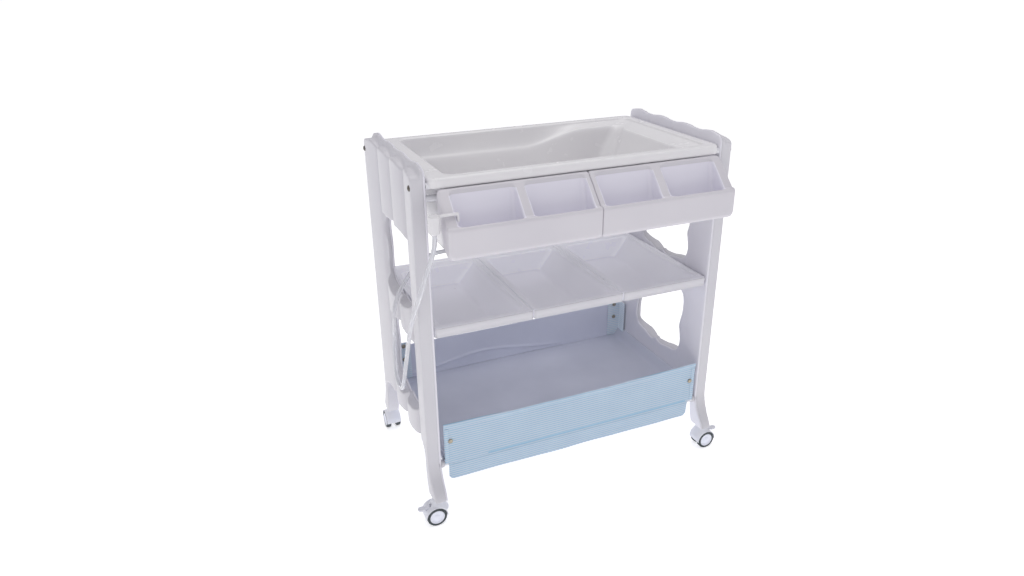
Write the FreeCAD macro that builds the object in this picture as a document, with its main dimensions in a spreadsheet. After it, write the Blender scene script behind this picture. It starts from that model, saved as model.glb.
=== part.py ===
import FreeCAD, Part
import math
import os
import re

from FreeCAD import Placement, Rotation, Vector

# A baby changing table on four twin-wheel castors: two moulded side panels, a bath tub between
# their tops, two organiser bins in front of it, a shelf of drop-in trays and a cloth basket.
# Millimetres. +X to the right, +Y to the rear, +Z up, origin on the floor in the middle.

DIMENSIONS = {
    # side panels
    "leg_mid_y": 10.25,
    "panel_inner_x": 366,
    "panel_outer_x": 400,
    "inner_skin": 6.5,
    "leg_half_depth": 205,
    "leg_top": 868,
    "sole_height": 70,
    "window_half_depth": 112,
    "upper_window_low": 516,
    "upper_window_high": 708,
    "lower_window_low": 238,
    "lower_window_high": 448,
    "skin": 3.5,
    # tub
    "rim_top": 855,
    "rim_drop": 23,
    "rim_half_length": 363,
    "rim_half_depth": 212,
    "rim_width": 27,
    "tub_floor": 640,
    "drain_x": -235,
    # steel cross tubes and their bolts
    "rail_radius": 7,
    "top_rail_y": 197,
    "top_rail_z": 838,
    "shelf_rail_y": 190,
    "shelf_rail_z": 501.5,
    "bin_rail_y": 195,
    "bin_rail_z": 811,
    "base_tube_radius": 7.5,
    "base_tube_y": 196,
    "base_tube_z": 145,
    "collar_radius": 10,
    "bolt_head_radius": 6.5,
    "rail_clearance": 0.4,
    "rail_wall": 1.2,
    "rail_socket": 6,
    # organiser bins
    "bins_left_x": -350,
    "bins_seam_x": 3,
    "bins_right_x": 356,
    "bin_back_y": -213,
    "bin_front_y": -293,
    "bin_top": 828,
    "bin_lip": 772,
    "bin_bottom": 700,
    # trays
    "trays_half_length": 364,
    "tray_half_depth": 204.5,
    "tray_top": 512,
    "tray_rim_drop": 23,
    "tray_floor": 455,
    # basket
    "basket_half_length": 358,
    "basket_top": 260,
    "basket_rear_top": 271,
    "basket_front_y": -205,
    "basket_rear_y": 201,
    "cloth": 2.5,
    "skirt_bottom": 98,
    # castors
    "stem_x": 383,
    "stem_y": 219,
    "stem_radius": 4,
    "trail": 11,
    "wheel_radius": 25,
    "hub_radius": 19,
    "wheel_width": 13,
    "wheel_inner_face": 7.5,
    "axle_radius": 2.5,
    "hood_radius": 28,
    "hood_half_width": 21,
    "web_half_width": 6.5,
    "swivel_gap": 0.05,
    "pedal_pivot_x": 26,
    "pedal_pivot_z": 46,
    # drain hose
    "hose_radius": 5,
    "barb_end_x": -262,
    "barb_z": 613,
    "hook_y": -267,
    "cap_x": -372,
    "cap_bottom": 757,
}

doc = FreeCAD.newDocument("changing_table")
sheet = doc.addObject("Spreadsheet::Sheet", "dims")
for row, (alias, value) in enumerate(DIMENSIONS.items(), start=1):
    sheet.set(f"A{row}", alias)
    sheet.set(f"B{row}", str(value))
    sheet.setAlias(f"B{row}", alias)
doc.recompute()

subparts = []


def over_sheet(text):
    """An expression with each dimension's name turned into a reference to its cell."""
    return re.sub(r"[a-z_]+", lambda word: "dims." + word[0] if word[0] in DIMENSIONS else word[0], str(text))


def size(alias):
    return float(getattr(sheet, alias))


TURNS = {
    "X": Rotation(Vector(0, 1, 0), 90),
    "Y": Rotation(Vector(1, 0, 0), -90),
    "Z": Rotation(),
}


def primitive(kind, name, at, axis="Z", **sizes):
    """One Part primitive, its sizes and place bound to the sheet."""
    item = doc.addObject("Part::" + kind, name)
    item.Placement = Placement(Vector(), TURNS[axis])
    for key, text in sizes.items():
        item.setExpression(key, over_sheet(text))
    for key, text in zip("xyz", at):
        item.setExpression("Placement.Base." + key, over_sheet(text))
    return item


def from_legs(at):
    """The same point with Y counted from the legs' mid-plane."""
    return at[0], f"({at[1]}) + leg_mid_y", at[2]


def span(sign, near, far):
    """The low and high ends along X of what lies between two distances on one side."""
    if sign > 0:
        return near, far
    return f"-({far})", f"-({near})"


def box(name, low, high, local=False):
    """A box between two corners given as expressions."""
    length, width, height = (f"({b}) - ({a})" for a, b in zip(low, high))
    at = low if local else from_legs(low)
    return primitive("Box", name, at, Length=length, Width=width, Height=height)


def cylinder(name, at, radius, length, axis="Z", local=False):
    at = at if local else from_legs(at)
    return primitive("Cylinder", name, at, axis, Radius=radius, Height=length)


def cut(name, base, tool):
    item = doc.addObject("Part::Cut", name)
    item.Base = base
    item.Tool = tool
    item.Refine = True
    return item


def fuse(name, *shapes):
    item = doc.addObject("Part::MultiFuse", name)
    item.Shapes = list(shapes)
    item.Refine = True
    return item


def common(name, *shapes):
    item = doc.addObject("Part::MultiCommon", name)
    item.Shapes = list(shapes)
    return item


def group(name, *shapes):
    item = doc.addObject("Part::Compound", name)
    item.Links = list(shapes)
    return item


def freeform(name, shape):
    """A shape made by Part's own functions, with Y counted from the legs' mid-plane."""
    item = doc.addObject("Part::Feature", name)
    item.Shape = shape
    item.Placement = Placement(Vector(0, size("leg_mid_y"), 0), Rotation()).multiply(shape.Placement)
    return item


def subpart(item):
    item.Label = item.Name
    subparts.append(item)
    return item


def rounded_rectangle(x_low, x_high, y_low, y_high, z, radius):
    """A horizontal rectangle with round corners, as a wire."""
    corners = (
        (x_high - radius, y_high - radius, 0),
        (x_low + radius, y_high - radius, 90),
        (x_low + radius, y_low + radius, 180),
        (x_high - radius, y_low + radius, 270),
    )
    arcs = []
    for x, y, start in corners:
        circle = Part.Circle(Vector(x, y, z), Vector(0, 0, 1), radius)
        arcs.append(Part.ArcOfCircle(circle, math.radians(start), math.radians(start + 90)).toShape())
    edges = []
    for arc, following in zip(arcs, arcs[1:] + arcs[:1]):
        edges.append(arc)
        edges.append(Part.makeLine(arc.Vertexes[-1].Point, following.Vertexes[0].Point))
    return Part.Wire(Part.__sortEdges__(edges))


def tapered_well(top, bottom):
    """The solid between two rounded rectangles."""
    return Part.makeLoft([rounded_rectangle(*bottom), rounded_rectangle(*top)], True, True)


# ---------------------------------------------------------------- side panels

def side_points(points):
    return [Vector(0, y, z) for y, z in points]


def spline(points):
    curve = Part.BSplineCurve()
    curve.interpolate(side_points(points))
    return curve.toShape()


def mirrored(points):
    """The points of the front half, then the same ones on the rear half in reverse."""
    return points + [(-y, z) for y, z in reversed(points) if y]


def panel_face():
    """The side panel's outline in the YZ plane: top edge of soft bumps, two legs, splayed feet."""
    half = size("leg_half_depth")
    top = size("leg_top")
    sole = size("sole_height")
    crown = mirrored([(-half + 16, top + 8), (-150, top + 12), (-108, top + 7), (-55, top + 12), (0, top + 7)])
    front = [(-half, 165), (-half - 4, 140), (-221, 112), (-237, 90), (-246, sole)]
    back = [(-195, sole), (-186, 100), (-181, 150), (-173, 180), (-158, 186), (-128, 177)]
    edges = [spline(crown)]
    for side in (1, -1):
        front_side = [(side * y, z) for y, z in front]
        back_side = [(side * y, z) for y, z in back]
        shoulder = Part.Arc(*side_points([(-side * half, top - 10), (-side * (half - 4), top + 3),
                                          (-side * (half - 16), top + 8)]))
        edges += [shoulder.toShape()]
        edges += [Part.makeLine(*side_points([(-side * half, top - 10), (-side * half, 165)]))]
        edges += [spline(front_side), spline(back_side)]
        edges += [Part.makeLine(*side_points([front_side[-1], back_side[0]]))]
    edges += [Part.makeLine(*side_points([back[-1], (-back[-1][0], back[-1][1])]))]
    return Part.Face(Part.Wire(Part.__sortEdges__(edges)))


def window_face(low, high):
    """A window with a softly scalloped outline."""
    half = size("window_half_depth")
    middle = (low + high) / 2
    quarter = (high - low) / 4
    front = [(0, low + 2), (-14, low - 4), (-58, low + 2), (-95, low + 10), (-half + 2, low + 34),
             (-half + 8, middle - quarter / 4), (-half, middle + quarter / 2), (-half + 4, high - 26),
             (-88, high - 6), (-50, high), (0, high - 5)]
    loop = front + [(-y, z) for y, z in reversed(front[1:-1])]
    curve = Part.BSplineCurve()
    curve.interpolate(side_points(loop), PeriodicFlag=True)
    return Part.Face(Part.Wire([curve.toShape()]))


def fluted_prism():
    """A tall prism whose outer face is four upright pillow slats."""
    crest = size("panel_outer_x")
    groove = crest - 13
    reach = 260
    ridges = [(-reach, crest - 5), (-190, crest), (-108, groove), (-54, crest - 1.5), (0, groove),
              (54, crest - 1.5), (108, groove), (190, crest), (reach, crest - 5)]
    edges = []
    for index in range(0, len(ridges) - 1, 2):
        points = [Vector(x, y, 0) for y, x in ridges[index:index + 3]]
        edges.append(Part.Arc(*points).toShape())
    corners = [Vector(ridges[-1][1], reach, 0), Vector(0, reach, 0), Vector(0, -reach, 0),
               Vector(ridges[0][1], -reach, 0)]
    edges += [Part.makeLine(a, b) for a, b in zip(corners, corners[1:])]
    return Part.Face(Part.Wire(Part.__sortEdges__(edges))).extrude(Vector(0, 0, 1000))


def panel_slab(x_low, x_high):
    """The outline between two X planes, with both windows cut through."""
    slab = panel_face().extrude(Vector(x_high - x_low, 0, 0))
    for level in ("upper", "lower"):
        window = window_face(size(level + "_window_low"), size(level + "_window_high"))
        slab = slab.cut(window.extrude(Vector(x_high - x_low, 0, 0)))
    slab.translate(Vector(x_low, 0, 0))
    return slab


def panel_cores():
    """The hollows of a side panel, as boxes inside its legs and rails."""
    skin = size("skin")
    low_x = size("panel_inner_x") + size("inner_skin")
    high_x = size("panel_outer_x") - 13 - skin
    half = size("leg_half_depth") - skin
    window = size("window_half_depth") + skin
    bands = [
        (-half, -window, 200, 850), (window, half, 200, 850),
        (-window, window, size("upper_window_high") + skin, 850),
        (-window, window, size("lower_window_high") + skin, size("upper_window_low") - 4 - skin),
        (-window, window, 180, size("lower_window_low") - 4 - skin),
    ]
    boxes = [Part.makeBox(high_x - low_x, y_high - y_low, z_high - z_low, Vector(low_x, y_low, z_low))
             for y_low, y_high, z_low, z_high in bands]
    return boxes[0].multiFuse(boxes[1:])


def tube_seats():
    """The round sockets for the ends of tubes and rails, and the holes for bolts and stems."""
    inner_x = size("panel_inner_x")
    holes = []
    for y in (-1, 1):
        seat = Vector(inner_x, y * size("base_tube_y"), size("base_tube_z"))
        holes.append(Part.makeCylinder(size("base_tube_radius"), 12, seat, Vector(1, 0, 0)))
        bolt = Vector(inner_x, y * size("top_rail_y"), size("top_rail_z"))
        holes.append(Part.makeCylinder(3.2, 40, bolt, Vector(1, 0, 0)))
        head = Vector(size("panel_outer_x") - 1.2, bolt.y, bolt.z)
        holes.append(Part.makeCylinder(size("bolt_head_radius") + 0.1, 10, head, Vector(1, 0, 0)))
        socket = Vector(inner_x, y * size("shelf_rail_y"), size("shelf_rail_z"))
        holes.append(Part.makeCylinder(size("rail_radius"), size("rail_socket"), socket, Vector(1, 0, 0)))
        stem = Vector(size("stem_x"), y * size("stem_y"), 0)
        holes.append(Part.makeCylinder(size("stem_radius"), size("sole_height") + 28, stem))
    socket = Vector(inner_x, -size("bin_rail_y"), size("bin_rail_z"))
    holes.append(Part.makeCylinder(size("rail_radius"), size("rail_socket"), socket, Vector(1, 0, 0)))
    return holes[0].multiFuse(holes[1:])


split_x = size("panel_inner_x") + size("inner_skin")
seats = tube_seats()
inner_panel = panel_slab(size("panel_inner_x"), split_x).cut(seats)
outer_panel = panel_slab(split_x, size("panel_outer_x")).common(fluted_prism())
outer_panel = outer_panel.cut(panel_cores()).cut(seats)
for side, sign in (("left", -1), ("right", 1)):
    for skin_name, shape in (("inner", inner_panel), ("outer", outer_panel)):
        if sign < 0:
            shape = shape.mirror(Vector(), Vector(1, 0, 0))
        subpart(freeform(f"{side}_panel_{skin_name}", shape))

# ---------------------------------------------------------------- steel cross tubes


def cross_tube(name, y, z, radius, reach):
    """A steel tube from one side panel to the other."""
    at = (f"-({reach})", y, z)
    outer = cylinder(name + "_bar", at, radius, f"2 * ({reach})", "X")
    bore = cylinder(name + "_bore", at, f"({radius}) - rail_wall", f"2 * ({reach})", "X")
    return subpart(cut(name, outer, bore))


for place, sign in (("front", "-"), ("rear", "")):
    cross_tube(f"top_rail_{place}", sign + "top_rail_y", "top_rail_z", "rail_radius", "panel_inner_x")
    cross_tube(f"shelf_rail_{place}", sign + "shelf_rail_y", "shelf_rail_z", "rail_radius",
               "panel_inner_x + rail_socket")
    cross_tube(f"base_tube_{place}", sign + "base_tube_y", "base_tube_z", "base_tube_radius",
               "panel_inner_x + 11")
cross_tube("bin_rail", "-bin_rail_y", "bin_rail_z", "rail_radius", "panel_inner_x + rail_socket")

collars = []
for x_side in (-1, 1):
    for y_side in (-1, 1):
        tag = f"{'rl'[x_side < 0]}{'rf'[y_side < 0]}"
        start, _ = span(x_side, "panel_inner_x - 7", "panel_inner_x")
        at = (start, f"{y_side} * base_tube_y", "base_tube_z")
        ring = cylinder(f"collar_ring_{tag}", at, "collar_radius", "7", "X")
        hole = cylinder(f"collar_hole_{tag}", at, "base_tube_radius", "7", "X")
        collars.append(cut(f"collar_{tag}", ring, hole))
subpart(group("tube_collars", *collars))

# The bolts clamp the panels to the top rails, and thread into inserts in the rails' ends.
bolts = []
inserts = []
for x_side in (-1, 1):
    for y_side in (-1, 1):
        tag = f"{'rl'[x_side < 0]}{'rf'[y_side < 0]}"
        y = f"{y_side} * top_rail_y"
        head_start, _ = span(x_side, "panel_outer_x - 1.2", "panel_outer_x + 2.8")
        shank_start, _ = span(x_side, "panel_inner_x - 22", "panel_outer_x - 1")
        head = cylinder(f"bolt_head_{tag}", (head_start, y, "top_rail_z"), "bolt_head_radius", "4", "X")
        shank = cylinder(f"bolt_shank_{tag}", (shank_start, y, "top_rail_z"), "3",
                         "panel_outer_x - panel_inner_x + 21", "X")
        bolts.append(fuse(f"bolt_{tag}", head, shank))
        insert_start, _ = span(x_side, "panel_inner_x - 20", "panel_inner_x")
        insert_at = (insert_start, y, "top_rail_z")
        slug = cylinder(f"insert_slug_{tag}", insert_at, "rail_radius - rail_wall", "20", "X")
        thread = cylinder(f"insert_thread_{tag}", insert_at, "3", "20", "X")
        inserts.append(cut(f"insert_{tag}", slug, thread))
subpart(group("panel_bolts", *bolts))
subpart(group("rail_inserts", *inserts))



def rail_channels(rail, reach):
    """The room for a pair of front and rear cross tubes, open downwards, to cut out of what sits on them."""
    radius = size("rail_radius") + size("rail_clearance")
    channels = []
    for y in (-size(rail + "_y"), size(rail + "_y")):
        axis = Vector(-reach, y, size(rail + "_z"))
        round_top = Part.makeCylinder(radius, 2 * reach, axis, Vector(1, 0, 0))
        mouth = Part.makeBox(2 * reach, 2 * radius, 40, axis + Vector(0, -radius, -40))
        channels.append(round_top.fuse(mouth))
    return channels[0].fuse(channels[1])


# ---------------------------------------------------------------- tub

def tub_shape():
    """A thin bath with a rolled rim: a rim block, a tapered body, the well and the rim's hollow."""
    length, depth = size("rim_half_length"), size("rim_half_depth")
    top, drop, width = size("rim_top"), size("rim_drop"), size("rim_width")
    floor = size("tub_floor")
    wall = 3
    rim = tapered_well((-length, length, -depth, depth, top, 22), (-length, length, -depth, depth, top - drop, 22))
    inner_length, inner_depth = length - width, depth - width
    body = tapered_well(
        (-inner_length - wall, inner_length + wall, -inner_depth - wall, inner_depth + wall, top - 4, 60),
        (-inner_length + 40, inner_length - 50, -inner_depth + 45, inner_depth - 45, floor, 70),
    )
    well = tapered_well(
        (-inner_length, inner_length, -inner_depth, inner_depth, top, 57),
        (-inner_length + 43, inner_length - 53, -inner_depth + 48, inner_depth - 48, floor + wall, 67),
    )
    roll_outer = tapered_well(
        (-length + wall, length - wall, -depth + wall, depth - wall, top - wall, 19),
        (-length + wall, length - wall, -depth + wall, depth - wall, top - drop, 19),
    )
    roll_inner = tapered_well(
        (-inner_length - wall, inner_length + wall, -inner_depth - wall, inner_depth + wall, top, 60),
        (-inner_length - wall, inner_length + wall, -inner_depth - wall, inner_depth + wall, top - drop, 60),
    )
    rolled_rim = rim.cut(roll_outer.cut(roll_inner)).cut(rail_channels("top_rail", length + 1))
    shell = rolled_rim.fuse(body).cut(well)
    drain = Part.makeCylinder(14, 40, Vector(size("drain_x"), 0, floor - 20))
    return shell.cut(drain).removeSplitter()


subpart(freeform("tub", tub_shape()))

# The drain: a flanged outlet clamped through the tub's floor by a nut, with a barb for the hose.
outlet = fuse(
    "outlet_body",
    cylinder("outlet_flange", ("drain_x", "0", "tub_floor + 3"), "20", "3"),
    cylinder("outlet_neck", ("drain_x", "0", "barb_z - 9"), "13.9", "tub_floor + 3 - (barb_z - 9)"),
    cylinder("outlet_barb", ("barb_end_x", "0", "barb_z"), "3.9", "drain_x - barb_end_x", "X"),
)
outlet_ways = fuse(
    "outlet_ways",
    cylinder("outlet_bore", ("drain_x", "0", "barb_z - 6"), "7", "60"),
    cylinder("barb_bore", ("barb_end_x", "0", "barb_z"), "2.6", "drain_x - barb_end_x", "X"),
)
subpart(cut("drain_outlet", outlet, outlet_ways))
nut_bore = cylinder("nut_bore", ("drain_x", "0", "tub_floor - 9"), "13.9", "9")
nut_body = cylinder("nut_body", ("drain_x", "0", "tub_floor - 9"), "21", "9")
subpart(cut("drain_nut", nut_body, nut_bore))
subpart(fuse(
    "drain_plug",
    cylinder("plug_head", ("drain_x", "0", "tub_floor + 6"), "12", "4"),
    cylinder("plug_stem", ("drain_x", "0", "tub_floor - 4"), "6.8", "10"),
    cylinder("plug_knob", ("drain_x", "0", "tub_floor + 10"), "4", "10"),
))

# ---------------------------------------------------------------- organiser bins

def bin_profile():
    """The bin's section in the YZ plane: upright front, slanting mouth, back that falls forwards."""
    back, front = size("bin_back_y"), size("bin_front_y")
    points = [(back, size("bin_top")), (back, 798), (-262, 706), (-272, size("bin_bottom")),
              (front + 6, size("bin_bottom")), (front, size("bin_bottom") + 6), (front, size("bin_lip") - 5),
              (front + 5, size("bin_lip"))]
    return Part.Face(Part.makePolygon(side_points(points + points[:1])))


def bin_pocket_face():
    """The pocket's section, open through the slanting mouth."""
    points = [(-220, 900), (-220, 800), (-264, 712), (-284, 711), (-284, 900)]
    return Part.Face(Part.makePolygon(side_points(points + points[:1])))


BIN_END = 26
BIN_DIVIDER = 22
HOOK_WIDTH = 30


def bin_shape(x_low, x_high):
    """One bin module: a solid section with two pockets, and two hooks over the bin rail."""
    body = bin_profile().extrude(Vector(x_high - x_low, 0, 0))
    pocket_length = (x_high - x_low - 2 * BIN_END - BIN_DIVIDER) / 2
    rail_y, rail_z = -size("bin_rail_y"), size("bin_rail_z")
    radius = size("rail_radius")
    for index in (0, 1):
        start = BIN_END + index * (pocket_length + BIN_DIVIDER)
        pocket = bin_pocket_face().extrude(Vector(pocket_length, 0, 0))
        pocket.translate(Vector(start, 0, 0))
        body = body.cut(pocket)
        hook_x = start + (pocket_length - HOOK_WIDTH) / 2
        arm = Part.makeBox(HOOK_WIDTH, 30, 22, Vector(hook_x, size("bin_back_y"), rail_z - 7))
        seat = Part.makeCylinder(radius, HOOK_WIDTH, Vector(hook_x, rail_y, rail_z), Vector(1, 0, 0))
        mouth = Part.makeBox(HOOK_WIDTH, 2 * radius, 20, Vector(hook_x, rail_y - radius, rail_z - 20))
        body = body.fuse(arm.cut(seat).cut(mouth))
    body.translate(Vector(x_low, 0, 0))
    return body


SEAM = 0.4
subpart(freeform("bin_left", bin_shape(size("bins_left_x"), size("bins_seam_x") - SEAM)))
subpart(freeform("bin_right", bin_shape(size("bins_seam_x") + SEAM, size("bins_right_x"))))

# ---------------------------------------------------------------- trays

def tray_shape(x_low, x_high):
    """A drop-in tray: rim block hollow beneath, sloping well, flat floor."""
    depth, top, drop = size("tray_half_depth"), size("tray_top"), size("tray_rim_drop")
    floor = size("tray_floor")
    wall = 3
    rim = tapered_well((x_low, x_high, -depth, depth, top, 10), (x_low, x_high, -depth, depth, top - drop, 10))
    under = tapered_well(
        (x_low + wall, x_high - wall, -depth + wall, depth - wall, top - wall, 8),
        (x_low + wall, x_high - wall, -depth + wall, depth - wall, top - drop, 8),
    )
    mouth = (x_low + 13, x_high - 13, -depth + 22, depth - 45)
    bottom = (x_low + 46, x_high - 46, -depth + 80, depth - 72)
    grown = (-wall, wall, -wall, wall)
    body = tapered_well(
        (*(edge + by for edge, by in zip(mouth, grown)), top - 1, 23),
        (*(edge + by for edge, by in zip(bottom, grown)), floor - wall, 27),
    )
    well = tapered_well((*mouth, top, 20), (*bottom, floor, 24))
    rolled_rim = rim.cut(under).cut(rail_channels("shelf_rail", size("trays_half_length") + 1))
    return rolled_rim.fuse(body).cut(well).removeSplitter()


tray_length = 2 * size("trays_half_length") / 3
for index, name in enumerate(("tray_left", "tray_middle", "tray_right")):
    tray_start = -size("trays_half_length") + index * tray_length
    subpart(freeform(name, tray_shape(tray_start + SEAM, tray_start + tray_length - SEAM)))

# ---------------------------------------------------------------- drain hose

# The hose's route from the drain's barb, out through the left window, down in a loop outside the
# panel and up to its cap, which hangs on the left bin.
HOSE_ROUTE = [
    (-262, 0, 613),
    (-292, 0, 613),
    (-324, -4, 604),
    (-356, -12, 581),
    (-386, -20, 548),
    (-409, -29, 508),
    (-416, -35, 460),
    (-416, -30, 412),
    (-416, -20, 364),
    (-416, -19, 322),
    (-416, -32, 303.5),
    (-416, -54, 296),
    (-416, -77, 303),
    (-417, -100, 334),
    (-418, -129, 390),
    (-418, -161, 450),
    (-419, -194, 512),
    (-417, -226, 566),
    (-407, -242, 606),
    (-395, -250, 650),
    (-382, -260, 694),
    (-372, -267, 732),
    (-372, -267, 757),
]


def cord_path(route):
    """Straight runs joined by tangent arcs, each arc as large as its two runs allow."""
    points = [Vector(*point) for point in route]
    edges = []
    start = points[0]
    for before, corner, after in zip(points, points[1:], points[2:]):
        incoming = (corner - before).normalize()
        outgoing = (after - corner).normalize()
        turn = incoming.getAngle(outgoing)
        setback = 0.45 * min((corner - before).Length, (after - corner).Length)
        arc_start = corner - incoming * setback
        arc_end = corner + outgoing * setback
        chord_middle = (arc_start + arc_end) * 0.5
        inward = (chord_middle - corner).normalize()
        radius = setback / math.tan(turn / 2)
        arc_middle = corner + inward * (radius / math.cos(turn / 2) - radius)
        print(f"hose turn {math.degrees(turn):5.1f} degrees, radius {radius:6.1f} mm")
        edges.append(Part.LineSegment(start, arc_start).toShape())
        edges.append(Part.Arc(arc_start, arc_middle, arc_end).toShape())
        start = arc_end
    edges.append(Part.LineSegment(start, points[-1]).toShape())
    return Part.Wire(edges)


def hose_shape():
    path = cord_path(HOSE_ROUTE)
    radius = size("hose_radius")
    start, following = (Vector(*point) for point in HOSE_ROUTE[:2])
    section = Part.Wire([Part.makeCircle(radius, start, following - start)])
    tube = path.makePipeShell([section], True, False)
    expected = math.pi * radius ** 2 * path.Length
    print(f"hose length {path.Length:.1f} mm, volume {tube.Volume:.0f} of {expected:.0f} mm3")
    return tube


subpart(freeform("drain_hose", hose_shape()))
cap = freeform("hose_cap", tapered_well(
    (size("cap_x") - 11, size("cap_x") + 11, size("hook_y") - 12, size("hook_y") + 12, size("cap_bottom") + 39, 5),
    (size("cap_x") - 9, size("cap_x") + 9, size("hook_y") - 10, size("hook_y") + 10, size("cap_bottom"), 5),
))
subpart(cap)
subpart(fuse(
    "hose_hook",
    box("hook_plate", ("cap_x + 11", "hook_y - 5", "cap_bottom + 19"), ("cap_x + 14", "hook_y + 5",
                                                                        "cap_bottom + 39")),
    box("hook_arm", ("cap_x + 11", "hook_y - 5", "cap_bottom + 35"), ("bins_left_x + 31", "hook_y + 5",
                                                                      "cap_bottom + 39")),
    box("hook_peg", ("bins_left_x + 27", "hook_y - 5", "cap_bottom + 21"), ("bins_left_x + 31", "hook_y + 5",
                                                                            "cap_bottom + 39")),
))

# ---------------------------------------------------------------- basket

subpart(box("basket_floor", ("-basket_half_length", "-base_tube_y + 9", "base_tube_z + 1"),
            ("basket_half_length", "base_tube_y - 9", "base_tube_z + 11")))
subpart(box("basket_front", ("-basket_half_length", "basket_front_y - cloth / 2", "base_tube_z + 2"),
            ("basket_half_length", "basket_front_y + cloth / 2", "basket_top")))
subpart(box("basket_skirt", ("-basket_half_length + 10", "basket_front_y - cloth / 2", "skirt_bottom"),
            ("basket_half_length - 16", "basket_front_y + cloth / 2", "base_tube_z + 1.5")))
subpart(box("basket_rear", ("-basket_half_length + 14", "basket_rear_y", "base_tube_z + 9"),
            ("basket_half_length - 14", "basket_rear_y + cloth", "basket_rear_top")))

straps = []
snaps = []
for tag, x_side in (("left", -1), ("right", 1)):
    flat_low, flat_high = span(x_side, "basket_half_length - 38", "basket_half_length + 3")
    side_low, side_high = span(x_side, "basket_half_length + 0.5", "basket_half_length + 3")
    flat = box(f"strap_flat_{tag}", (flat_low, "basket_rear_y - cloth - 0.3", "base_tube_z + 20"),
               (flat_high, "basket_rear_y - 0.3", "basket_rear_top + 10"))
    side = box(f"strap_side_{tag}", (side_low, "basket_rear_y - 34", "base_tube_z + 20"),
               (side_high, "basket_rear_y - 0.3", "basket_rear_top + 10"))
    straps.append(fuse(f"strap_{tag}", flat, side))
    snaps.append(cylinder(f"front_snap_{tag}",
                          (f"{x_side} * (basket_half_length - 16)", "basket_front_y - cloth / 2 - 2", "211"),
                          "6", "2", "Y"))
    for level in ("228", "270"):
        snaps.append(cylinder(f"rear_snap_{tag}_{level}",
                              (f"{x_side} * (basket_half_length - 18)", "basket_rear_y - cloth - 2.3", level),
                              "6", "2", "Y"))
subpart(group("basket_straps", *straps))
subpart(group("basket_snaps", *snaps))

# ---------------------------------------------------------------- castors

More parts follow.
